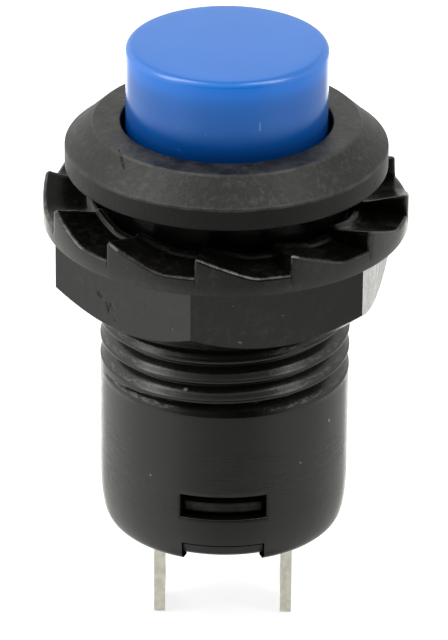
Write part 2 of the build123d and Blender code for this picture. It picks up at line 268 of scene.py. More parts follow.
add([(5.04, -18.30), (4.97, -18.27), (4.95, -18.20)], "bottom")
inner_rows = {}
for z in (-17.7, NOTCH_Z, -16.6, WIN_Z0 - WIN_B, WIN_Z0 + 0.18, -15.22, WIN_Z1 - 0.18, WIN_Z1 + WIN_B):
    inner_rows[z] = len(rows)
    add([(4.95, z)], "seat")
add([(4.95, -14.30), (4.50, -14.30), (4.50, -12.5), (4.50, -10.0), (4.50, -7.5), (4.50, -4.75)], "chamber")
add(arc(4.35, -4.75, 0.15, 0, 90, 3)[1:], "chamber")
add([lambda a: (guide(a) + 0.06, -4.60), lambda a: (guide(a), -4.52)], "web")

bm = bmesh.new()


def within(a, half):
    """Whether the column that starts at direction a lies inside a front or back opening."""
    for c in (0.0, 180.0, -180.0):
        if c - half - 1e-4 <= a < c + half - 1e-4:
            return True
    return False


win_out = {body_rows[z] for z in (WIN_Z1 + WIN_B, WIN_Z1 - 0.18, -15.22, WIN_Z0 + 0.18)}
win_in = {inner_rows[z] for z in (WIN_Z0 - WIN_B, WIN_Z0 + 0.18, -15.22, WIN_Z1 - 0.18)}
notch_rows = set(range(body_rows[NOTCH_Z], inner_rows[NOTCH_Z]))


def skip_housing(i, j):
    a = TH_H[j]
    if i == thread_top:
        return True
    if i in win_out or i in win_in:
        return within(a, WIN_T + 0.55)
    if i in notch_rows:
        return within(a, NOTCH_T)
    return False


grid = lathe(bm, rows, TH_H, True, skip_housing)
# the notches' sides are flat and parallel
for i in notch_rows | {body_rows[NOTCH_Z], inner_rows[NOTCH_Z]}:
    for j, a in enumerate(TH_H):
        for c in (0.0, 180.0, -180.0):
            if abs(abs(a - c) - NOTCH_T) < 1e-4:
                v = grid[i][j]
                r = math.hypot(v.co.x, v.co.y)
                x = math.copysign(1.95, v.co.x)
                v.co.x, v.co.y = x, math.copysign(math.sqrt(r * r - x * x), v.co.y)

# the threaded barrel, rows that follow the helix
K = len(PHASE)
turns = int(math.ceil((-THREAD_BOTTOM) / PITCH)) + 3
levels = [-(n + p) for n in range(turns) for p in PHASE]
z_ref = CREST_Z0 + 9.0 * PITCH                       # a crest at direction 0, above the flange
tg = []
for lv in levels:
    line = []
    for a in TH_H:
        z = z_ref + lv * PITCH + a / 360.0 * PITCH
        z = min(-0.02, max(CLAMP, z))
        line.append(bm.verts.new(polar(thread_r(a, z), a, z)))
    tg.append(line)
N = len(TH_H)
for i in range(len(levels) - 1):
    for j in range(N - 1):
        bm.faces.new((tg[i][j], tg[i][j + 1], tg[i + 1][j + 1], tg[i + 1][j]))
    if i - K >= 0:
        bm.faces.new((tg[i][N - 1], tg[i - K][0], tg[i - K + 1][0], tg[i + 1][N - 1]))

# walls of the two snap windows, with a small round on the outer edge, and of the two key notches
col = {round(a, 5): j for j, a in enumerate(TH_H)}


def column(a):
    a = ((a + 180) % 360) - 180
    return min(range(N), key=lambda j: min(abs(TH_H[j] - a), 360 - abs(TH_H[j] - a)))


def columns_between(a0, a1):
    j0, j1 = column(a0), column(a1)
    out = [j0]
    while out[-1] != j1:
        out.append((out[-1] + 1) % N)
    return out


for c in (0.0, 180.0):
    cols = columns_between(c - WIN_T - 0.55, c + WIN_T + 0.55)
    zs = [WIN_Z1 + WIN_B, WIN_Z1 - 0.18, -15.22, WIN_Z0 + 0.18, WIN_Z0 - WIN_B]
    # the border as (column, z), going round
    border = [(j, zs[0]) for j in cols] + [(cols[-1], z) for z in zs[1:]] + \
             [(j, zs[-1]) for j in reversed(cols[:-1])] + [(cols[0], z) for z in reversed(zs[1:-1])]
    outer = [grid[body_rows[z]][j] for j, z in border]
    inner = [grid[inner_rows[z]][j] for j, z in border]
    a_lo, a_hi = c - WIN_T, c + WIN_T

    def pulled(j, z, share, drop):
        a = TH_H[j]
        rel = ((a - c + 180) % 360) - 180
        lim = WIN_T + 0.55 * (1 - share)
        rel = max(-lim, min(lim, rel))
        zz = max(WIN_Z0 - WIN_B * (1 - share), min(WIN_Z1 + WIN_B * (1 - share), z))
        return bm.verts.new(polar(body_r(zz) - drop, c + rel, zz))

    loops = [outer,
             [pulled(j, z, 0.55, 0.012) for j, z in border],
             [pulled(j, z, 0.90, 0.032) for j, z in border],
             [pulled(j, z, 1.0, 0.07) for j, z in border],
             [pulled(j, z, 1.0, 0.45) for j, z in border],
             inner]
    for a_, b_ in zip(loops, loops[1:]):
        for i in range(len(border)):
            k = (i + 1) % len(border)
            quad = (a_[i], a_[k], b_[k], b_[i])
            if len(set(quad)) == 4:
                bm.faces.new(quad)
    ncols = columns_between(c - NOTCH_T, c + NOTCH_T)
    top_o, top_i = grid[body_rows[NOTCH_Z]], grid[inner_rows[NOTCH_Z]]
    for j0, j1 in zip(ncols, ncols[1:]):
        bm.faces.new((top_o[j0], top_o[j1], top_i[j1], top_i[j0]))
    for j in (ncols[0], ncols[-1]):
        bm.faces.new([grid[i][j] for i in range(body_rows[NOTCH_Z], inner_rows[NOTCH_Z] + 1)])

loose = [v for v in bm.verts if not v.link_faces]
bmesh.ops.delete(bm, geom=loose, context="VERTS")
housing = finish_mesh("housing_moulding", bm, "housing", ["housing"], sharp=32)

# ---------------------------------------------------------------------------
# panel nut: saw-tooth crown above a hexagon
# ---------------------------------------------------------------------------
TOOTH0, RAMP = -9.5, 18.5
HEX0, HEX_AF = -10.9, 14.52
NUT_R, MOUTH_R, BORE_R = 8.58, 6.42, 5.98
VALLEY, RING_BOTTOM, NUT_BOTTOM = -1.94, -2.84, -6.25


def hex_r(a):
    rel = ((a - HEX0) % 60.0) - 30.0
    return HEX_AF / 2 / math.cos(math.radians(rel))


def peak_z(r):
    pts = [(5.9, -1.64), (6.42, -1.50), (8.58, -0.92)]
    for (r0, z0), (r1, z1) in zip(pts, pts[1:]):
        if r <= r1:
            return lerp(z0, z1, (r - r0) / (r1 - r0))
    return pts[-1][1]


ROUND = {-3: 0.35, -2: 0.34, -1: 0.16, 0: 0.13, 1: 0.16, 2: 0.30, 3: 0.30}   # worn corners, by tooth


def worn(a, r):
    """How far the crown's top has worn down just behind a tooth's upright face, in millimetres."""
    k = math.floor((a - TOOTH0 + 1e-4) / 30.0)
    k = ((k + 6) % 12) - 6
    q = ROUND.get(k, 0.22)
    s = math.radians(max(0.0, a - TOOTH0 - 30.0 * math.floor((a - TOOTH0 + 1e-4) / 30.0))) * r
    if s >= q:
        return 0.0
    return (q - math.sqrt(q * q - (q - s) ** 2)) * (0.2 + 0.8 * smooth(7.3, 8.5, r))


FOOT = 2.4                 # half width of the round at a ramp's foot, in degrees


def crown_z(a, r, side):
    """Height of the crown's top. side is 0 just before a tooth's upright face and 1 on or after it."""
    rel = (a - TOOTH0) % 30.0
    if rel > 29.999:
        rel = 0.0
    if rel < 1e-3 and side == 0:
        return VALLEY
    if rel >= RAMP + FOOT:
        return VALLEY
    if rel > RAMP - FOOT:                              # the ramp runs softly into the valley
        return VALLEY + (peak_z(r) - VALLEY) / RAMP * (RAMP + FOOT - rel) ** 2 / (4 * FOOT)
    return lerp(peak_z(r), VALLEY, rel / RAMP) - worn(a, r)


peaks = [((TOOTH0 + 30 * k + 180) % 360) - 180 for k in range(12)]
feet = [((TOOTH0 + RAMP + 30 * k + 180) % 360) - 180 for k in range(12)]
corners = [((HEX0 + 60 * k + 180) % 360) - 180 for k in range(6)]
nut_angles = angles(peaks + feet + corners + [q + d for q in peaks for d in (0.18, 0.55, 1.1, 1.8, 2.7)] + [q + d for q in feet for d in (-2.4, -1.2, 1.2, 2.4)], 2.5, 0.3)
cols_n = []
for a in nut_angles:
    if min(abs(a - p) for p in peaks) < 1e-3:
        cols_n.append((a, 0))
    cols_n.append((a, 1))


EDGE = 0.15                # round on the crown's outer top edge
LIP = [(6.66, 0.0), (6.54, 0.03), (6.46, 0.10), (6.38, 0.18), (6.28, 0.22), (6.17, 0.20), (6.08, 0.11), (6.01, -0.03)]


def build_nut():
    bm = bmesh.new()
    rws = [lambda a, s: (BORE_R, -2.25)]
    for r, up in reversed(LIP):                        # rounded lip round the bore's mouth
        rws.append(lambda a, s, r=r, up=up: (r, crown_z(a, r, s) + up))
    for r in (7.0, 7.5, 7.9, 8.2):
        rws.append(lambda a, s, r=r: (r, crown_z(a, r, s)))
    for k in range(5):
        t = math.radians(90 - 22.5 * k)
        rws.append(lambda a, s, t=t: (NUT_R - EDGE + EDGE * math.cos(t) - (0.6 * worn(a, NUT_R) if s else 0.0),
                                      crown_z(a, NUT_R - EDGE, s) - EDGE + EDGE * math.sin(t)))
    rws.append(lambda a, s: (NUT_R, -2.35))
    rws.append(lambda a, s: (NUT_R, RING_BOTTOM + 0.10))
    rws.append(lambda a, s: (NUT_R - 0.03, RING_BOTTOM + 0.03))
    rws.append(lambda a, s: (NUT_R - 0.10, RING_BOTTOM))
    rws.append(lambda a, s: (hex_r(a) + 0.05, RING_BOTTOM))
    rws.append(lambda a, s: (hex_r(a), RING_BOTTOM - 0.05))
    rws.append(lambda a, s: (hex_r(a), -4.2))
    rws.append(lambda a, s: (hex_r(a), NUT_BOTTOM + max(0.0, hex_r(a) - 7.15) * 0.85))
    rws.append(lambda a, s: (7.15, NUT_BOTTOM))
    rws.append(lambda a, s: (6.30, NUT_BOTTOM))
    rws.append(lambda a, s: (BORE_R, NUT_BOTTOM + 0.28))
    grid = []
    for f in rws:
        grid.append([bm.verts.new(polar(f(a, s)[0], a, f(a, s)[1])) for a, s in cols_n])
    n, m = len(rws), len(cols_n)
    for i in range(n):
        k = (i + 1) % n
        for j in range(m):
            l = (j + 1) % m
            vs = []
            for v in (grid[i][j], grid[i][l], grid[k][l], grid[k][j]):
                if all((v.co - w.co).length > 1e-6 for w in vs):
                    vs.append(v)
            if len(vs) >= 3:
                bm.faces.new(vs)
    return bm


nut = finish_mesh("panel_nut_moulding", build_nut(), "nut", ["panel_nut"], sharp=0)
bevel(nut, 0.045, 2, 24)

# ---------------------------------------------------------------------------
# push cap
# ---------------------------------------------------------------------------
bm = bmesh.new()
socket = square_r(1.31, 0.02)
ROOF, CAP_TOP = 5.07, 6.07
TH_C = angles([45, 135, -45, -135], 2.5, 0.3)
crow = []
crow += [lambda a: (socket(a), ROOF), lambda a: (socket(a), 2.46), lambda a: (socket(a) + 0.06, 2.40)]
crow += [(2.39, 2.40), (2.45, 2.46), (2.45, 3.4), (2.45, 4.4), (2.45, ROOF - 0.20), (2.52, ROOF - 0.06), (2.66, ROOF)]
crow += [(3.3, ROOF), (3.72, ROOF), (3.87, ROOF - 0.06), (3.92, ROOF - 0.20), (3.92, 3.5), (3.92, 2.0), (3.92, 0.70),
         (4.00, 0.60)]
crow += [(4.62, 0.60), (4.72, 0.70), (4.72, 1.6), (4.72, 2.6), (4.72, 3.6), (4.72, 4.6), (4.72, 5.3), (4.72, 5.72)]
crow += arc(4.37, CAP_TOP - 0.35, 0.35, 0, 90, 8)[1:]
crow += [(3.9, CAP_TOP), (3.2, CAP_TOP), (2.2, CAP_TOP), (1.1, CAP_TOP)]
g = lathe(bm, crow, TH_C, closed=False)
top = bm.verts.new((0, 0, CAP_TOP))
low = bm.verts.new((0, 0, ROOF))
for j in range(len(TH_C)):
    l = (j + 1) % len(TH_C)
    bm.faces.new((g[-1][j], g[-1][l], top))
    bm.faces.new((g[0][l], g[0][j], low))
cap = finish_mesh("push_cap_moulding", bm, "button", ["push_cap"], sharp=35)

# ---------------------------------------------------------------------------
# coil springs, as round wire with closed ends
# ---------------------------------------------------------------------------


def coil(name, mean_r, wire_r, z0, z1, active, body, node):
    bm = bmesh.new()
    lo, hi = z0 + wire_r, z1 - wire_r
    seg, sides = 30, 10
    closed = 1.0
    total = active + 2 * closed
    pts = []
    steps = int(total * seg)
    for i in range(steps + 1):
        t = i / steps * total
        # closed end turns lie a wire apart, the active ones share the rest
        if t < closed:
            z = lo + 2 * wire_r * 1.02 * (t / closed) ** 1.5
        elif t > total - closed:
            z = hi - 2 * wire_r * 1.02 * ((total - t) / closed) ** 1.5
        else:
            a = (t - closed) / active
            z = lerp(lo + 2.04 * wire_r, hi - 2.04 * wire_r, a)
        ang = t * 2 * math.pi
        pts.append(Vector((mean_r * math.cos(ang), mean_r * math.sin(ang), z)))
    rings = []
    for i, p in enumerate(pts):
        d = (pts[min(i + 1, steps)] - pts[max(i - 1, 0)]).normalized()
        n = Vector((p.x, p.y, 0)).normalized()
        b = d.cross(n).normalized()
        n = b.cross(d).normalized()
        rings.append([bm.verts.new(p + n * wire_r * math.cos(2 * math.pi * k / sides) + b * wire_r * math.sin(2 * math.pi * k / sides))
                      for k in range(sides)])
    for r0, r1 in zip(rings, rings[1:]):
        for k in range(sides):
            l = (k + 1) % sides
            bm.faces.new((r0[k], r0[l], r1[l], r1[k]))
    bm.faces.new(rings[0])
    bm.faces.new(rings[-1])
    ob = finish_mesh(name, bm, body, [node], sharp=40)
    return ob


ret = coil("return_spring_coil", 3.20, 0.20, -2.60, 4.57, 4.5, "housing", "return_spring")
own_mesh(ret)
con = coil("contact_spring_coil", 0.92, 0.12, -11.55, -8.00, 4.5, "bridge", "contact_spring")
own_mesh(con)


# ---------------------------------------------------------------------------
# materials
# ---------------------------------------------------------------------------
class Graph:
    def __init__(self, name):
        self.m = bpy.data.materials.new(name)
        self.m.use_nodes = True
        self.t = self.m.node_tree
        self.t.nodes.clear()
        self.out = self.t.nodes.new("ShaderNodeOutputMaterial")
        self.p = self.t.nodes.new("ShaderNodeBsdfPrincipled")
        self.t.links.new(self.p.outputs[0], self.out.inputs[0])
        self.co = self.t.nodes.new("ShaderNodeTexCoord")

    def link(self, a, b):
        self.t.links.new(a, b)

    def set(self, **k):
        for n, v in k.items():
            self.p.inputs[n.replace("_", " ")].default_value = v

    def mapping(self, scale, src=None):
        n = self.t.nodes.new("ShaderNodeMapping")
        n.inputs["Scale"].default_value = scale
        self.link(src or self.co.outputs["Object"], n.inputs["Vector"])
        return n.outputs[0]

    def noise(self, scale, detail=3.0, rough=0.5, vec=None, dist=0.0):
        n = self.t.nodes.new("ShaderNodeTexNoise")
        n.inputs["Scale"].default_value = scale
        n.inputs["Detail"].default_value = detail
        n.inputs["Roughness"].default_value = rough
        n.inputs["Distortion"].default_value = dist
        self.link(vec or self.co.outputs["Object"], n.inputs["Vector"])
        return n.outputs["Fac"]

    def math(self, op, a, b=None, c=None, clamp=False):
        n = self.t.nodes.new("ShaderNodeMath")
        n.operation = op
        n.use_clamp = clamp
        for i, v in enumerate((a, b, c)):
            if v is None:
                continue
            if isinstance(v, (int, float)):
                n.inputs[i].default_value = v
            else:
                self.link(v, n.inputs[i])
        return n.outputs[0]

    def ramp(self, fac, stops):
        n = self.t.nodes.new("ShaderNodeMapRange")
        n.interpolation_type = "SMOOTHSTEP"
        n.inputs["From Min"].default_value = stops[0]
        n.inputs["From Max"].default_value = stops[1]
        n.inputs["To Min"].default_value = stops[2]
        n.inputs["To Max"].default_value = stops[3]
        self.link(fac, n.inputs["Value"])
        return n.outputs[0]

    def mix(self, fac, a, b):
        n = self.t.nodes.new("ShaderNodeMix")
        n.data_type = "RGBA"
        ins = [s for s in n.inputs if s.type == "RGBA"]
        for s, v in zip(ins, (a, b)):
            if isinstance(v, tuple):
                s.default_value = v if len(v) == 4 else (*v, 1.0)
            else:
                self.link(v, s)
        f = n.inputs[0]
        if isinstance(fac, (int, float)):
            f.default_value = fac
        else:
            self.link(fac, f)
        return [s for s in n.outputs if s.type == "RGBA"][0]

    def bump(self, height, strength, distance, normal=None):
        n = self.t.nodes.new("ShaderNodeBump")
        n.inputs["Strength"].default_value = strength
        n.inputs["Distance"].default_value = distance
        self.link(height, n.inputs["Height"])
        if normal is not None:
            self.link(normal, n.inputs["Normal"])
        return n.outputs[0]

    def xyz(self):
        n = self.t.nodes.new("ShaderNodeSeparateXYZ")
        self.link(self.co.outputs["Object"], n.inputs[0])
        return n.outputs

    def segment(self, a, b, width, soft):
        """1 within width of the segment a-b, in millimetres, fading over soft."""
        a, b = Vector(a) * MM, Vector(b) * MM
        ab = b - a
        v = self.t.nodes.new("ShaderNodeVectorMath")
        v.operation = "SUBTRACT"
        self.link(self.co.outputs["Object"], v.inputs[0])
        v.inputs[1].default_value = a
        d = self.t.nodes.new("ShaderNodeVectorMath")
        d.operation = "DOT_PRODUCT"
        self.link(v.outputs[0], d.inputs[0])
        d.inputs[1].default_value = ab / max(ab.length_squared, 1e-12)
        t = self.math("MULTIPLY", d.outputs["Value"], 1.0, clamp=True)
        s = self.t.nodes.new("ShaderNodeVectorMath")
        s.operation = "SCALE"
        s.inputs[0].default_value = ab
        self.link(t, s.inputs["Scale"])
        q = self.t.nodes.new("ShaderNodeVectorMath")
        q.operation = "DISTANCE"
        self.link(v.outputs[0], q.inputs[0])
        self.link(s.outputs[0], q.inputs[1])
        return self.ramp(q.outputs["Value"], (width * MM, (width + soft) * MM, 1.0, 0.0))


def black_plastic(name, base, rough, mottle=0.04):
    g = Graph(name)
    big = g.noise(450, 4, 0.55)
    fine = g.noise(9000, 2, 0.6)
    mid = g.noise(2200, 3, 0.55)
    lift = g.ramp(big, (0.35, 0.72, 0.0, 1.0))
    dark = tuple(c * 0.80 for c in base)
    lite = tuple(c * 1.35 for c in base)
    g.colour = g.mix(lift, dark, lite)
    g.dust = g.ramp(g.noise(5200, 1.5, 0.5), (0.735, 0.80, 0.0, 0.16))
    r = g.math("ADD", g.math("MULTIPLY", mid, 0.16), rough - 0.08)
    g.rough = g.math("ADD", r, g.math("MULTIPLY", lift, mottle))
    n = g.bump(fine, 0.10, 0.00003)
    g.normal = g.bump(mid, 0.12, 0.00006, n)
    g.mid, g.fine, g.big = mid, fine, big
    return g


def plus(g, *masks):
    """The largest of several masks."""
    out = masks[0]
    for m_ in masks[1:]:
        out = g.math("MAXIMUM", out, m_)
    return out


def close(g):
    g.link(g.mix(g.dust, g.colour, (0.080, 0.078, 0.070)), g.p.inputs["Base Color"])
    g.link(g.rough, g.p.inputs["Roughness"])
    g.link(g.normal, g.p.inputs["Normal"])


def band(g, v, a, b, soft):
    """1 between two values, in millimetres."""
    return g.math("MULTIPLY", g.ramp(v, ((a - soft) * MM, a * MM, 0.0, 1.0)), g.ramp(v, (b * MM, (b + soft) * MM, 1.0, 0.0)))


# housing: rougher bezel with painted highlights along its edges, fine scratches and painted highlights on the thread
# flanks
g = black_plastic("black_moulding", (0.0026, 0.0025, 0.0021), 0.24)
x_, y_, z_ = g.xyz()
bezel = g.ramp(z_, (-0.0003, 0.0001, 0.0, 1.0))
g.rough = g.math("ADD", g.rough, g.math("MULTIPLY", bezel, 0.21))
grit = g.noise(5200, 3, 0.65)
g.normal = g.bump(g.math("MULTIPLY", grit, bezel), 0.34, 0.00006, g.normal)
patchy = g.ramp(g.noise(700, 3, 0.6), (0.35, 0.65, 0.15, 1.0))
mottle = g.math("MULTIPLY", g.ramp(g.noise(3300, 4, 0.72), (0.46, 0.66, 0.0, 1.0)), g.ramp(g.noise(520, 2, 0.5), (0.38, 0.62, 0.35, 1.0)))
mottle = g.math("MULTIPLY", mottle, band(g, z_, 0.98, 2.30, 0.05))
g.colour = g.mix(g.math("MULTIPLY", mottle, 0.72), g.colour, (0.034, 0.034, 0.029))
# painted highlight: lighter, patchy colour along the rim's top edge and along the land's edges
rim_edge_highlight = g.math("MULTIPLY", band(g, z_, 1.02, 1.10, 0.05), patchy)
land_edge_highlight = g.math("MULTIPLY", band(g, z_, 2.17, 2.24, 0.03), patchy)
g.colour = g.mix(g.math("MULTIPLY", plus(g, rim_edge_highlight, land_edge_highlight), 0.45), g.colour, (0.065, 0.064, 0.058))
# painted highlight: lighter, speckled upper flanks out to both sides of the front, weaker on the right
rad = g.math("SQRT", g.math("ADD", g.math("MULTIPLY", x_, x_), g.math("MULTIPLY", y_, y_)))
out_side = g.ramp(g.math("ABSOLUTE", x_), (0.0016, 0.0034, 0.0, 1.0))
flank = g.math("MULTIPLY", band(g, rad, 5.74, 5.84, 0.035), band(g, z_, -10.25, -6.2, 0.05))
flank_highlight = g.ramp(g.noise(1.0, 4, 0.75, vec=g.mapping((2600, 2600, 6500))), (0.47, 0.62, 0.0, 1.0))
flank_highlight = g.math("MULTIPLY", g.math("MULTIPLY", flank_highlight, out_side), flank)
flank_highlight = g.math("MULTIPLY", flank_highlight, g.ramp(x_, (0.0022, 0.0052, 1.0, 0.55)))
g.colour = g.mix(g.math("MULTIPLY", flank_highlight, 0.74), g.colour, (0.120, 0.118, 0.105))
g.rough = g.math("ADD", g.rough, g.math("MULTIPLY", flank_highlight, 0.25))
# fine level scratches round the lower body
hair = g.noise(1.0, 2, 0.6, vec=g.mapping((260, 260, 16000)))
hair = g.math("MULTIPLY", g.ramp(hair, (0.53, 0.66, 0.0, 1.0)), band(g, z_, -15.2, -12.9, 0.7))
hair = g.math("MULTIPLY", hair, g.ramp(g.noise(420, 2, 0.5), (0.40, 0.60, 0.05, 1.0)))
g.normal = g.bump(hair, 0.42, 0.00003, g.normal)
g.colour = g.mix(g.math("MULTIPLY", hair, 0.26), g.colour, (0.022, 0.022, 0.019))
g.rough = g.math("ADD", g.rough, g.math("MULTIPLY", hair, 0.14))
# a dark scratch across the bevel and a few pale specks
cut = plus(g, g.segment((-4.93, -3.62, 2.24), (-4.84, -4.00, 2.18), 0.015, 0.05), g.segment((-4.80, -4.10, 2.12), (-4.76, -4.42, 2.00), 0.03, 0.06),
           g.segment((-4.72, -4.55, 1.95), (-4.69, -4.76, 1.83), 0.025, 0.05))
cut = g.math("MULTIPLY", cut, g.ramp(g.noise(4200, 3, 0.7), (0.36, 0.55, 0.2, 1.0)))
g.normal = g.bump(g.math("SUBTRACT", 1.0, cut), 0.8, 0.00006, g.normal)
g.rough = g.math("ADD", g.rough, g.math("MULTIPLY", cut, 0.30))
spots = plus(g, g.segment((4.946, -3.226, -11.84), (4.95, -3.21, -11.86), 0.03, 0.06),
             g.segment((-1.84, -5.32, -9.19), (-1.80, -5.33, -9.18), 0.05, 0.06),
             g.segment((3.60, -4.69, -13.35), (3.62, -4.67, -13.36), 0.01, 0.05),
             g.segment((-3.45, -4.79, -14.0), (-3.44, -4.80, -14.02), 0.01, 0.05))
g.colour = g.mix(g.math("MULTIPLY", spots, 0.75), g.colour, (0.26, 0.26, 0.245))
dull = plus(g, g.math("MULTIPLY", band(g, z_, 0.0, 0.98, 0.04), 0.20), g.math("MULTIPLY", band(g, z_, 1.03, 2.30, 0.04), 0.09))
g.link(g.math("SUBTRACT", 0.5, dull), g.p.inputs["Specular IOR Level"])
close(g)
mat_housing = g

# nut: smoother, with scuffs on the flats, small nicks and painted highlights on the crown's outer edge
g = black_plastic("black_nut_moulding", (0.0030, 0.0028, 0.0021), 0.24, 0.03)
x_, y_, z_ = g.xyz()
scuff = plus(g, g.segment((-5.86, -4.53, -4.60), (-5.70, -4.67, -4.72), 0.04, 0.16), g.segment((-5.40, -4.93, -5.00), (-5.30, -5.02, -5.22), 0.10, 0.20),
             g.segment((-5.15, -5.15, -5.60), (-5.10, -5.19, -5.66), 0.04, 0.10))
scuff = g.math("MULTIPLY", scuff, g.ramp(g.noise(3200, 3, 0.7), (0.40, 0.58, 0.0, 1.0)))
nicks = plus(g, g.segment((0.66, -7.45, -5.66), (0.74, -7.42, -5.70), 0.02, 0.07), g.segment((0.34, -7.57, -3.77), (0.38, -7.55, -3.80), 0.01, 0.05),
             g.segment((-2.45, -7.49, -4.98), (-2.42, -7.50, -5.04), 0.015, 0.06), g.segment((-3.62, -6.47, -4.30), (-3.66, -6.44, -4.32), 0.01, 0.05),
             g.segment((2.62, -6.78, -4.62), (2.72, -6.74, -4.63), 0.01, 0.05))
rad = g.math("SQRT", g.math("ADD", g.math("MULTIPLY", x_, x_), g.math("MULTIPLY", y_, y_)))
# painted highlight: lighter, speckled colour along the crown's outer top edge, strongest at the front tooth and the
# far left, and on two tooth tips
edge_highlight = g.math("MULTIPLY", band(g, rad, 8.44, 8.545, 0.022), band(g, z_, -2.02, -0.80, 0.04))
edge_highlight = g.math("MULTIPLY", edge_highlight, g.ramp(g.noise(2300, 3, 0.7), (0.40, 0.62, 0.05, 1.0)))
ax = g.math("ABSOLUTE", g.math("SUBTRACT", x_, 0.00035))
edge_highlight_share = plus(g, g.ramp(ax, (0.0010, 0.0030, 1.0, 0.30)), g.ramp(x_, (-0.0068, -0.0062, 0.9, 0.30)))
tip_highlights = plus(g, g.segment((-5.23, -6.78, -1.10), (-4.98, -6.98, -1.24), 0.03, 0.07), g.segment((3.02, -7.93, -1.04), (3.30, -7.84, -1.09), 0.03, 0.07))
fresh = g.math("MULTIPLY", g.math("MULTIPLY", g.ramp(rad, (0.00836, 0.00844, 0.0, 1.0)), band(g, z_, -2.02, -0.80, 0.04)), g.math("SUBTRACT", 1.0, plus(g, edge_highlight_share, tip_highlights)))
edge_highlight = plus(g, g.math("MULTIPLY", edge_highlight, edge_highlight_share), g.math("MULTIPLY", tip_highlights, 1.3))
lumps = g.noise(1250, 3, 0.6)
g.normal = g.bump(g.math("MULTIPLY", lumps, g.ramp(z_, (-0.00255, -0.00285, 0.0, 1.0))), 0.22, 0.00007, g.normal)
g.colour = g.mix(g.math("MULTIPLY", edge_highlight, 0.62), g.colour, (0.14, 0.14, 0.125))
g.colour = g.mix(g.math("MULTIPLY", nicks, 0.7), g.colour, (0.12, 0.12, 0.11))
mottle = g.math("MULTIPLY", g.ramp(g.noise(2600, 4, 0.75), (0.48, 0.68, 0.0, 1.0)), g.ramp(g.noise(430, 2, 0.5), (0.40, 0.62, 0.15, 1.0)))
g.colour = g.mix(g.math("MULTIPLY", mottle, 0.42), g.colour, (0.024, 0.024, 0.021))
g.rough = g.math("ADD", g.rough, g.math("MULTIPLY", plus(g, scuff, nicks), 0.30))
g.normal = g.bump(g.math("SUBTRACT", 1.0, plus(g, scuff, nicks)), 0.9, 0.00010, g.normal)
# the ramps between the teeth are duller than the outside, and so is the lip on two sides
ramps = g.ramp(rad, (0.00660, 0.00672, 0.0, 1.0))
lip = plus(g, g.ramp(x_, (0.0040, 0.0047, 0.0, 1.0)), g.ramp(x_, (-0.0046, -0.0038, 0.5, 0.0)))
inner = g.math("MULTIPLY", g.ramp(rad, (0.00838, 0.00846, 1.0, 0.0)), g.ramp(z_, (-0.00275, -0.00265, 0.0, 1.0)))
inner = g.math("MULTIPLY", inner, plus(g, ramps, lip))
fresh = g.math("MULTIPLY", fresh, g.ramp(rad, (0.00852, 0.00854, 1.0, 0.0)))
g.link(g.math("SUBTRACT", 0.50, plus(g, g.math("MULTIPLY", inner, 0.36), g.math("MULTIPLY", fresh, 0.36))), g.p.inputs["Specular IOR Level"])
close(g)
mat_nut = g

g = black_plastic("black_base_moulding", (0.0030, 0.0029, 0.0026), 0.36)
x_, y_, z_ = g.xyz()
ends = g.ramp(g.math("ABSOLUTE", x_), (0.0009, 0.0019, 0.0, 0.30))
uneven = g.ramp(g.noise(1700, 3, 0.6), (0.35, 0.65, 0.0, 0.16))
g.link(g.math("SUBTRACT", 0.52, g.math("MULTIPLY", g.ramp(z_, (-0.0165, -0.0160, 0.0, 1.0)), g.math("ADD", ends, uneven))), g.p.inputs["Specular IOR Level"])
close(g)
mat_base = g

# push cap: painted shade, a deeper blue towards its base, and a painted lighter band under the top edge
g = Graph("blue_cap")
x_, y_, z_ = g.xyz()
big = g.noise(300, 3, 0.5)
col = g.mix(g.ramp(big, (0.3, 0.7, 0.0, 1.0)), (0.0032, 0.121, 0.48), (0.0042, 0.131, 0.51))
# painted shade: darker blue on the lower part of the side
col = g.mix(g.ramp(z_, (0.0042, 0.0056, 0.24, 0.0)), col, (0.0006, 0.034, 0.165))
# painted light: a lighter blue band just below the top edge
top_band_light = g.math("MULTIPLY", g.ramp(z_, (0.0048, 0.0056, 0.0, 0.75)), g.ramp(z_, (0.00585, 0.00607, 1.0, 0.15)))
col = g.mix(top_band_light, col, (0.0030, 0.165, 0.66))
# painted shade: much deeper blue towards the base
col = g.mix(g.ramp(z_, (0.00215, 0.0040, 0.66, 0.0)), col, (0.0001, 0.023, 0.150))
specks = g.ramp(g.noise(4200, 1.5, 0.5), (0.755, 0.80, 0.0, 1.0))
col = g.mix(g.math("MULTIPLY", specks, 0.14), col, (0.36, 0.48, 0.70))
col = g.mix(g.math("MULTIPLY", g.segment((1.511, -4.471, 4.04), (1.519, -4.469, 3.68), 0.006, 0.05), 0.32), col, (0.36, 0.48, 0.70))
g.link(col, g.p.inputs["Base Color"])
fillet = g.math("MULTIPLY", g.ramp(z_, (0.00572, 0.00580, 0.0, 1.0)), g.ramp(z_, (0.00600, 0.00606, 1.0, 0.0)))
sheen = g.math("ADD", g.math("MULTIPLY", g.noise(1400, 3, 0.5), 0.08), 0.15)
g.link(g.math("ADD", sheen, g.math("MULTIPLY", fillet, 0.05)), g.p.inputs["Roughness"])
flat = g.ramp(z_, (0.00595, 0.00606, 0.0, 1.0))
gloss = g.math("ADD", g.ramp(z_, (0.0029, 0.0037, 0.12, 0.48)), g.math("MULTIPLY", flat, g.ramp(y_, (-0.0047, 0.0047, -0.13, 0.06))))
g.link(g.math("ADD", gloss, g.math("MULTIPLY", fillet, 0.34)), g.p.inputs["Specular IOR Level"])
n = g.bump(g.noise(7000, 2, 0.6), 0.035, 0.00002)
g.link(n, g.p.inputs["Normal"])
mat_cap = g

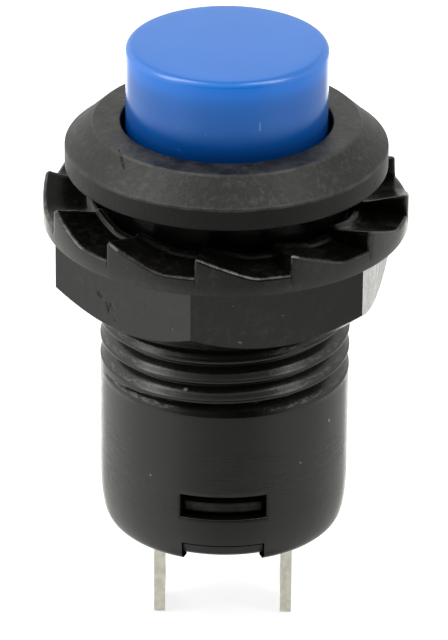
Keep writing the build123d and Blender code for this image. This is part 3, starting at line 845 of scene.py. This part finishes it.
g = Graph("tinned_strip")
grain = g.noise(1.0, 3, 0.6, vec=g.mapping((9000, 9000, 500)))
lump = g.noise(2100, 3, 0.6)
col = g.mix(g.ramp(lump, (0.34, 0.66, 0.0, 1.0)), (0.72, 0.70, 0.585), (0.86, 0.84, 0.735))
g.link(col, g.p.inputs["Base Color"])
g.link(g.ramp(g.noise(3100, 2, 0.6), (0.3, 0.7, 0.50, 0.85)), g.p.inputs["Metallic"])
g.link(g.math("ADD", g.math("MULTIPLY", grain, 0.20), 0.28), g.p.inputs["Roughness"])
n = g.bump(lump, 0.35, 0.00006)
g.link(g.bump(grain, 0.15, 0.00003, n), g.p.inputs["Normal"])
mat_tin = g

g = Graph("spring_wire")
grain = g.noise(6000, 3, 0.6)
col = g.mix(g.ramp(grain, (0.3, 0.7, 0.0, 1.0)), (0.42, 0.41, 0.39), (0.62, 0.61, 0.58))
g.link(col, g.p.inputs["Base Color"])
g.set(Metallic=1.0)
g.link(g.math("ADD", g.math("MULTIPLY", grain, 0.2), 0.2), g.p.inputs["Roughness"])
g.link(g.bump(grain, 0.1, 0.00002), g.p.inputs["Normal"])
mat_spring = g

g = Graph("brass_strip")
grain = g.noise(1.0, 3, 0.6, vec=g.mapping((700, 9000, 9000)))
col = g.mix(g.ramp(g.noise(900, 3, 0.6), (0.3, 0.7, 0.0, 1.0)), (0.66, 0.45, 0.18), (0.80, 0.60, 0.29))
g.link(col, g.p.inputs["Base Color"])
g.set(Metallic=1.0)
g.link(g.math("ADD", g.math("MULTIPLY", grain, 0.22), 0.22), g.p.inputs["Roughness"])
g.link(g.bump(grain, 0.15, 0.00003), g.p.inputs["Normal"])
mat_brass = g

g = Graph("silver_contact")
grain = g.noise(3500, 3, 0.6)
col = g.mix(g.ramp(grain, (0.3, 0.7, 0.0, 1.0)), (0.78, 0.77, 0.74), (0.90, 0.89, 0.87))
g.link(col, g.p.inputs["Base Color"])
g.set(Metallic=1.0)
g.link(g.math("ADD", g.math("MULTIPLY", grain, 0.2), 0.22), g.p.inputs["Roughness"])
g.link(g.bump(grain, 0.12, 0.00002), g.p.inputs["Normal"])
mat_silver = g

g = Graph("acetal")
big = g.noise(500, 3, 0.5)
col = g.mix(g.ramp(big, (0.3, 0.7, 0.0, 1.0)), (0.70, 0.69, 0.64), (0.80, 0.79, 0.75))
g.link(col, g.p.inputs["Base Color"])
g.link(g.math("ADD", g.math("MULTIPLY", g.noise(2500, 3, 0.5), 0.15), 0.32), g.p.inputs["Roughness"])
g.link(g.bump(g.noise(8000, 2, 0.6), 0.08, 0.00003), g.p.inputs["Normal"])
mat_pom = g


def paint(ob, graph):
    ob.data.materials.clear()
    ob.data.materials.append(graph.m)


paint(housing, mat_housing)
paint(nut, mat_nut)
paint(cap, mat_cap)
paint(ret, mat_spring)
paint(con, mat_spring)
CAD_LOOKS = {
    "terminal_base": mat_base, "terminal_left": mat_tin, "terminal_right": mat_tin, "plunger": mat_pom,
    "latch_pin": mat_spring, "latch_spring": mat_spring, "contact_bridge": mat_brass,
    "bridge_contact_left": mat_silver, "bridge_contact_right": mat_silver,
    "fixed_contact_left": mat_silver, "fixed_contact_right": mat_silver,
}
for name, graph in CAD_LOOKS.items():
    for s in nodes[name].material_slots:
        s.material = graph.m

# ---------------------------------------------------------------------------
# floor, light and camera
# ---------------------------------------------------------------------------
lo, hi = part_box("terminal_left")
floor_z = lo.z - 0.00002
me = bpy.data.meshes.new("floor")
S = 1.5
me.from_pydata([(-S, -S, floor_z), (S, -S, floor_z), (S, S, floor_z), (-S, S, floor_z)], [], [(0, 1, 2, 3)])
floor = bpy.data.objects.new("floor", me)
scene.collection.objects.link(floor)
g = Graph("pale_floor")
g.p.inputs["Base Color"].default_value = (0.48, 0.48, 0.492, 1)
g.p.inputs["Emission Color"].default_value = (0.98, 0.98, 1.0, 1)
g.p.inputs["Emission Strength"].default_value = 0.73
g.p.inputs["Roughness"].default_value = 0.85
g.p.inputs["Specular IOR Level"].default_value = 0.1
me.materials.append(g.m)
floor.visible_glossy = False


def area(name, az, el, dist, size, power, size_y=None, color=(1, 1, 1), target=(0, 0, -0.006)):
    L = bpy.data.lights.new(name, "AREA")
    L.shape = "RECTANGLE"
    L.size = size
    L.size_y = size_y or size
    L.energy = power
    L.color = color
    ob = bpy.data.objects.new(name, L)
    scene.collection.objects.link(ob)
    a, e = math.radians(az), math.radians(el)
    p = Vector(target) + Vector((math.sin(a) * math.cos(e), -math.cos(a) * math.cos(e), math.sin(e))) * dist
    ob.location = p
    ob.rotation_mode = "QUATERNION"
    ob.rotation_quaternion = (p - Vector(target)).to_track_quat("Z", "Y")
    return ob


area("key_left", -79, 50, 0.60, 0.22, 1.55, 0.54)
area("key_right", 68, 54, 0.60, 0.19, 1.20, 0.50)

w = bpy.data.worlds.new("studio")
scene.world = w
w.use_nodes = True
t = w.node_tree
t.nodes.clear()
out = t.nodes.new("ShaderNodeOutputWorld")
bg = t.nodes.new("ShaderNodeBackground")
t.links.new(bg.outputs[0], out.inputs[0])
tc = t.nodes.new("ShaderNodeTexCoord")
sp = t.nodes.new("ShaderNodeSeparateXYZ")
t.links.new(tc.outputs["Generated"], sp.inputs[0])


def wmath(op, a, b=None, clamp=False):
    n = t.nodes.new("ShaderNodeMath")
    n.operation = op
    n.use_clamp = clamp
    for i, v in enumerate((a, b)):
        if v is None:
            continue
        if isinstance(v, (int, float)):
            n.inputs[i].default_value = v
        else:
            t.links.new(v, n.inputs[i])
    return n.outputs[0]


def wramp(v, a, b, lo, hi):
    n = t.nodes.new("ShaderNodeMapRange")
    n.interpolation_type = "SMOOTHSTEP"
    n.inputs["From Min"].default_value = a
    n.inputs["From Max"].default_value = b
    n.inputs["To Min"].default_value = lo
    n.inputs["To Max"].default_value = hi
    t.links.new(v, n.inputs["Value"])
    return n.outputs[0]


# a white tent: darker round the open front, a little brighter on the left and overhead
front = wramp(wmath("MULTIPLY", sp.outputs["Y"], -1.0), 0.45, 0.95, 0.0, -0.50)
side = wmath("MULTIPLY", sp.outputs["X"], -0.20)
back = wramp(sp.outputs["Y"], 0.30, 0.90, 0.0, -0.12)
over = wramp(sp.outputs["Z"], 0.0, 0.40, 0.0, 0.20)
zenith = wramp(sp.outputs["Z"], 0.70, 1.00, 0.0, -0.45)
room = wmath("MULTIPLY", wmath("MULTIPLY", wramp(wmath("MULTIPLY", sp.outputs["Y"], -1.0), 0.30, 0.80, 0.0, 1.0),
                               wramp(sp.outputs["Z"], -0.22, 0.08, 0.0, 1.0)), wramp(sp.outputs["Z"], 0.60, 0.88, -0.62, 0.0))
below = wramp(wmath("MULTIPLY", sp.outputs["Z"], -1.0), 0.72, 0.97, 0.0, -0.60)
strength = wmath("ADD", wmath("ADD", wmath("ADD", front, side), wmath("ADD", back, over)), wmath("ADD", zenith, 1.0))
far_low = wmath("MULTIPLY", wramp(sp.outputs["Y"], 0.76, 0.87, 0.0, 1.3), wramp(wmath("MULTIPLY", sp.outputs["Z"], -1.0), 0.22, 0.40, 0.0, 1.0))
high_right = wmath("MULTIPLY", wramp(sp.outputs["X"], 0.35, 0.65, 0.0, -0.45), wramp(sp.outputs["Z"], 0.45, 0.65, 0.0, 1.0))
strength = wmath("ADD", wmath("ADD", wmath("ADD", strength, far_low), high_right), wmath("ADD", room, below))
t.links.new(strength, bg.inputs["Strength"])
bg.inputs["Color"].default_value = (1.0, 0.998, 0.955, 1)

cam_data = bpy.data.cameras.new("camera")
cam = bpy.data.objects.new("camera", cam_data)
scene.collection.objects.link(cam)
scene.camera = cam
D, E, ROLL = 0.241387, math.radians(26.376), math.radians(0.506)
F_PX, TX, TZ = 5088.74, -0.0000493, -0.0082109
cam_data.sensor_width = 36.0
cam_data.sensor_fit = "AUTO"
cam_data.lens = F_PX * 36.0 / 640.0
cam_data.clip_start, cam_data.clip_end = 0.01, 10.0
R = Vector((1, 0, 0))
U = Vector((0, math.sin(E), math.cos(E)))
Fw = Vector((0, math.cos(E), -math.sin(E)))
R2 = R * math.cos(ROLL) + U * math.sin(ROLL)
U2 = U * math.cos(ROLL) - R * math.sin(ROLL)
m = Matrix((R2, U2, -Fw)).transposed().to_4x4()
m.translation = Vector((TX, -D * math.cos(E), TZ + D * math.sin(E)))
cam.matrix_world = m

scene.view_settings.view_transform = "Standard"
scene.view_settings.look = "None"
scene.view_settings.exposure = 0.0
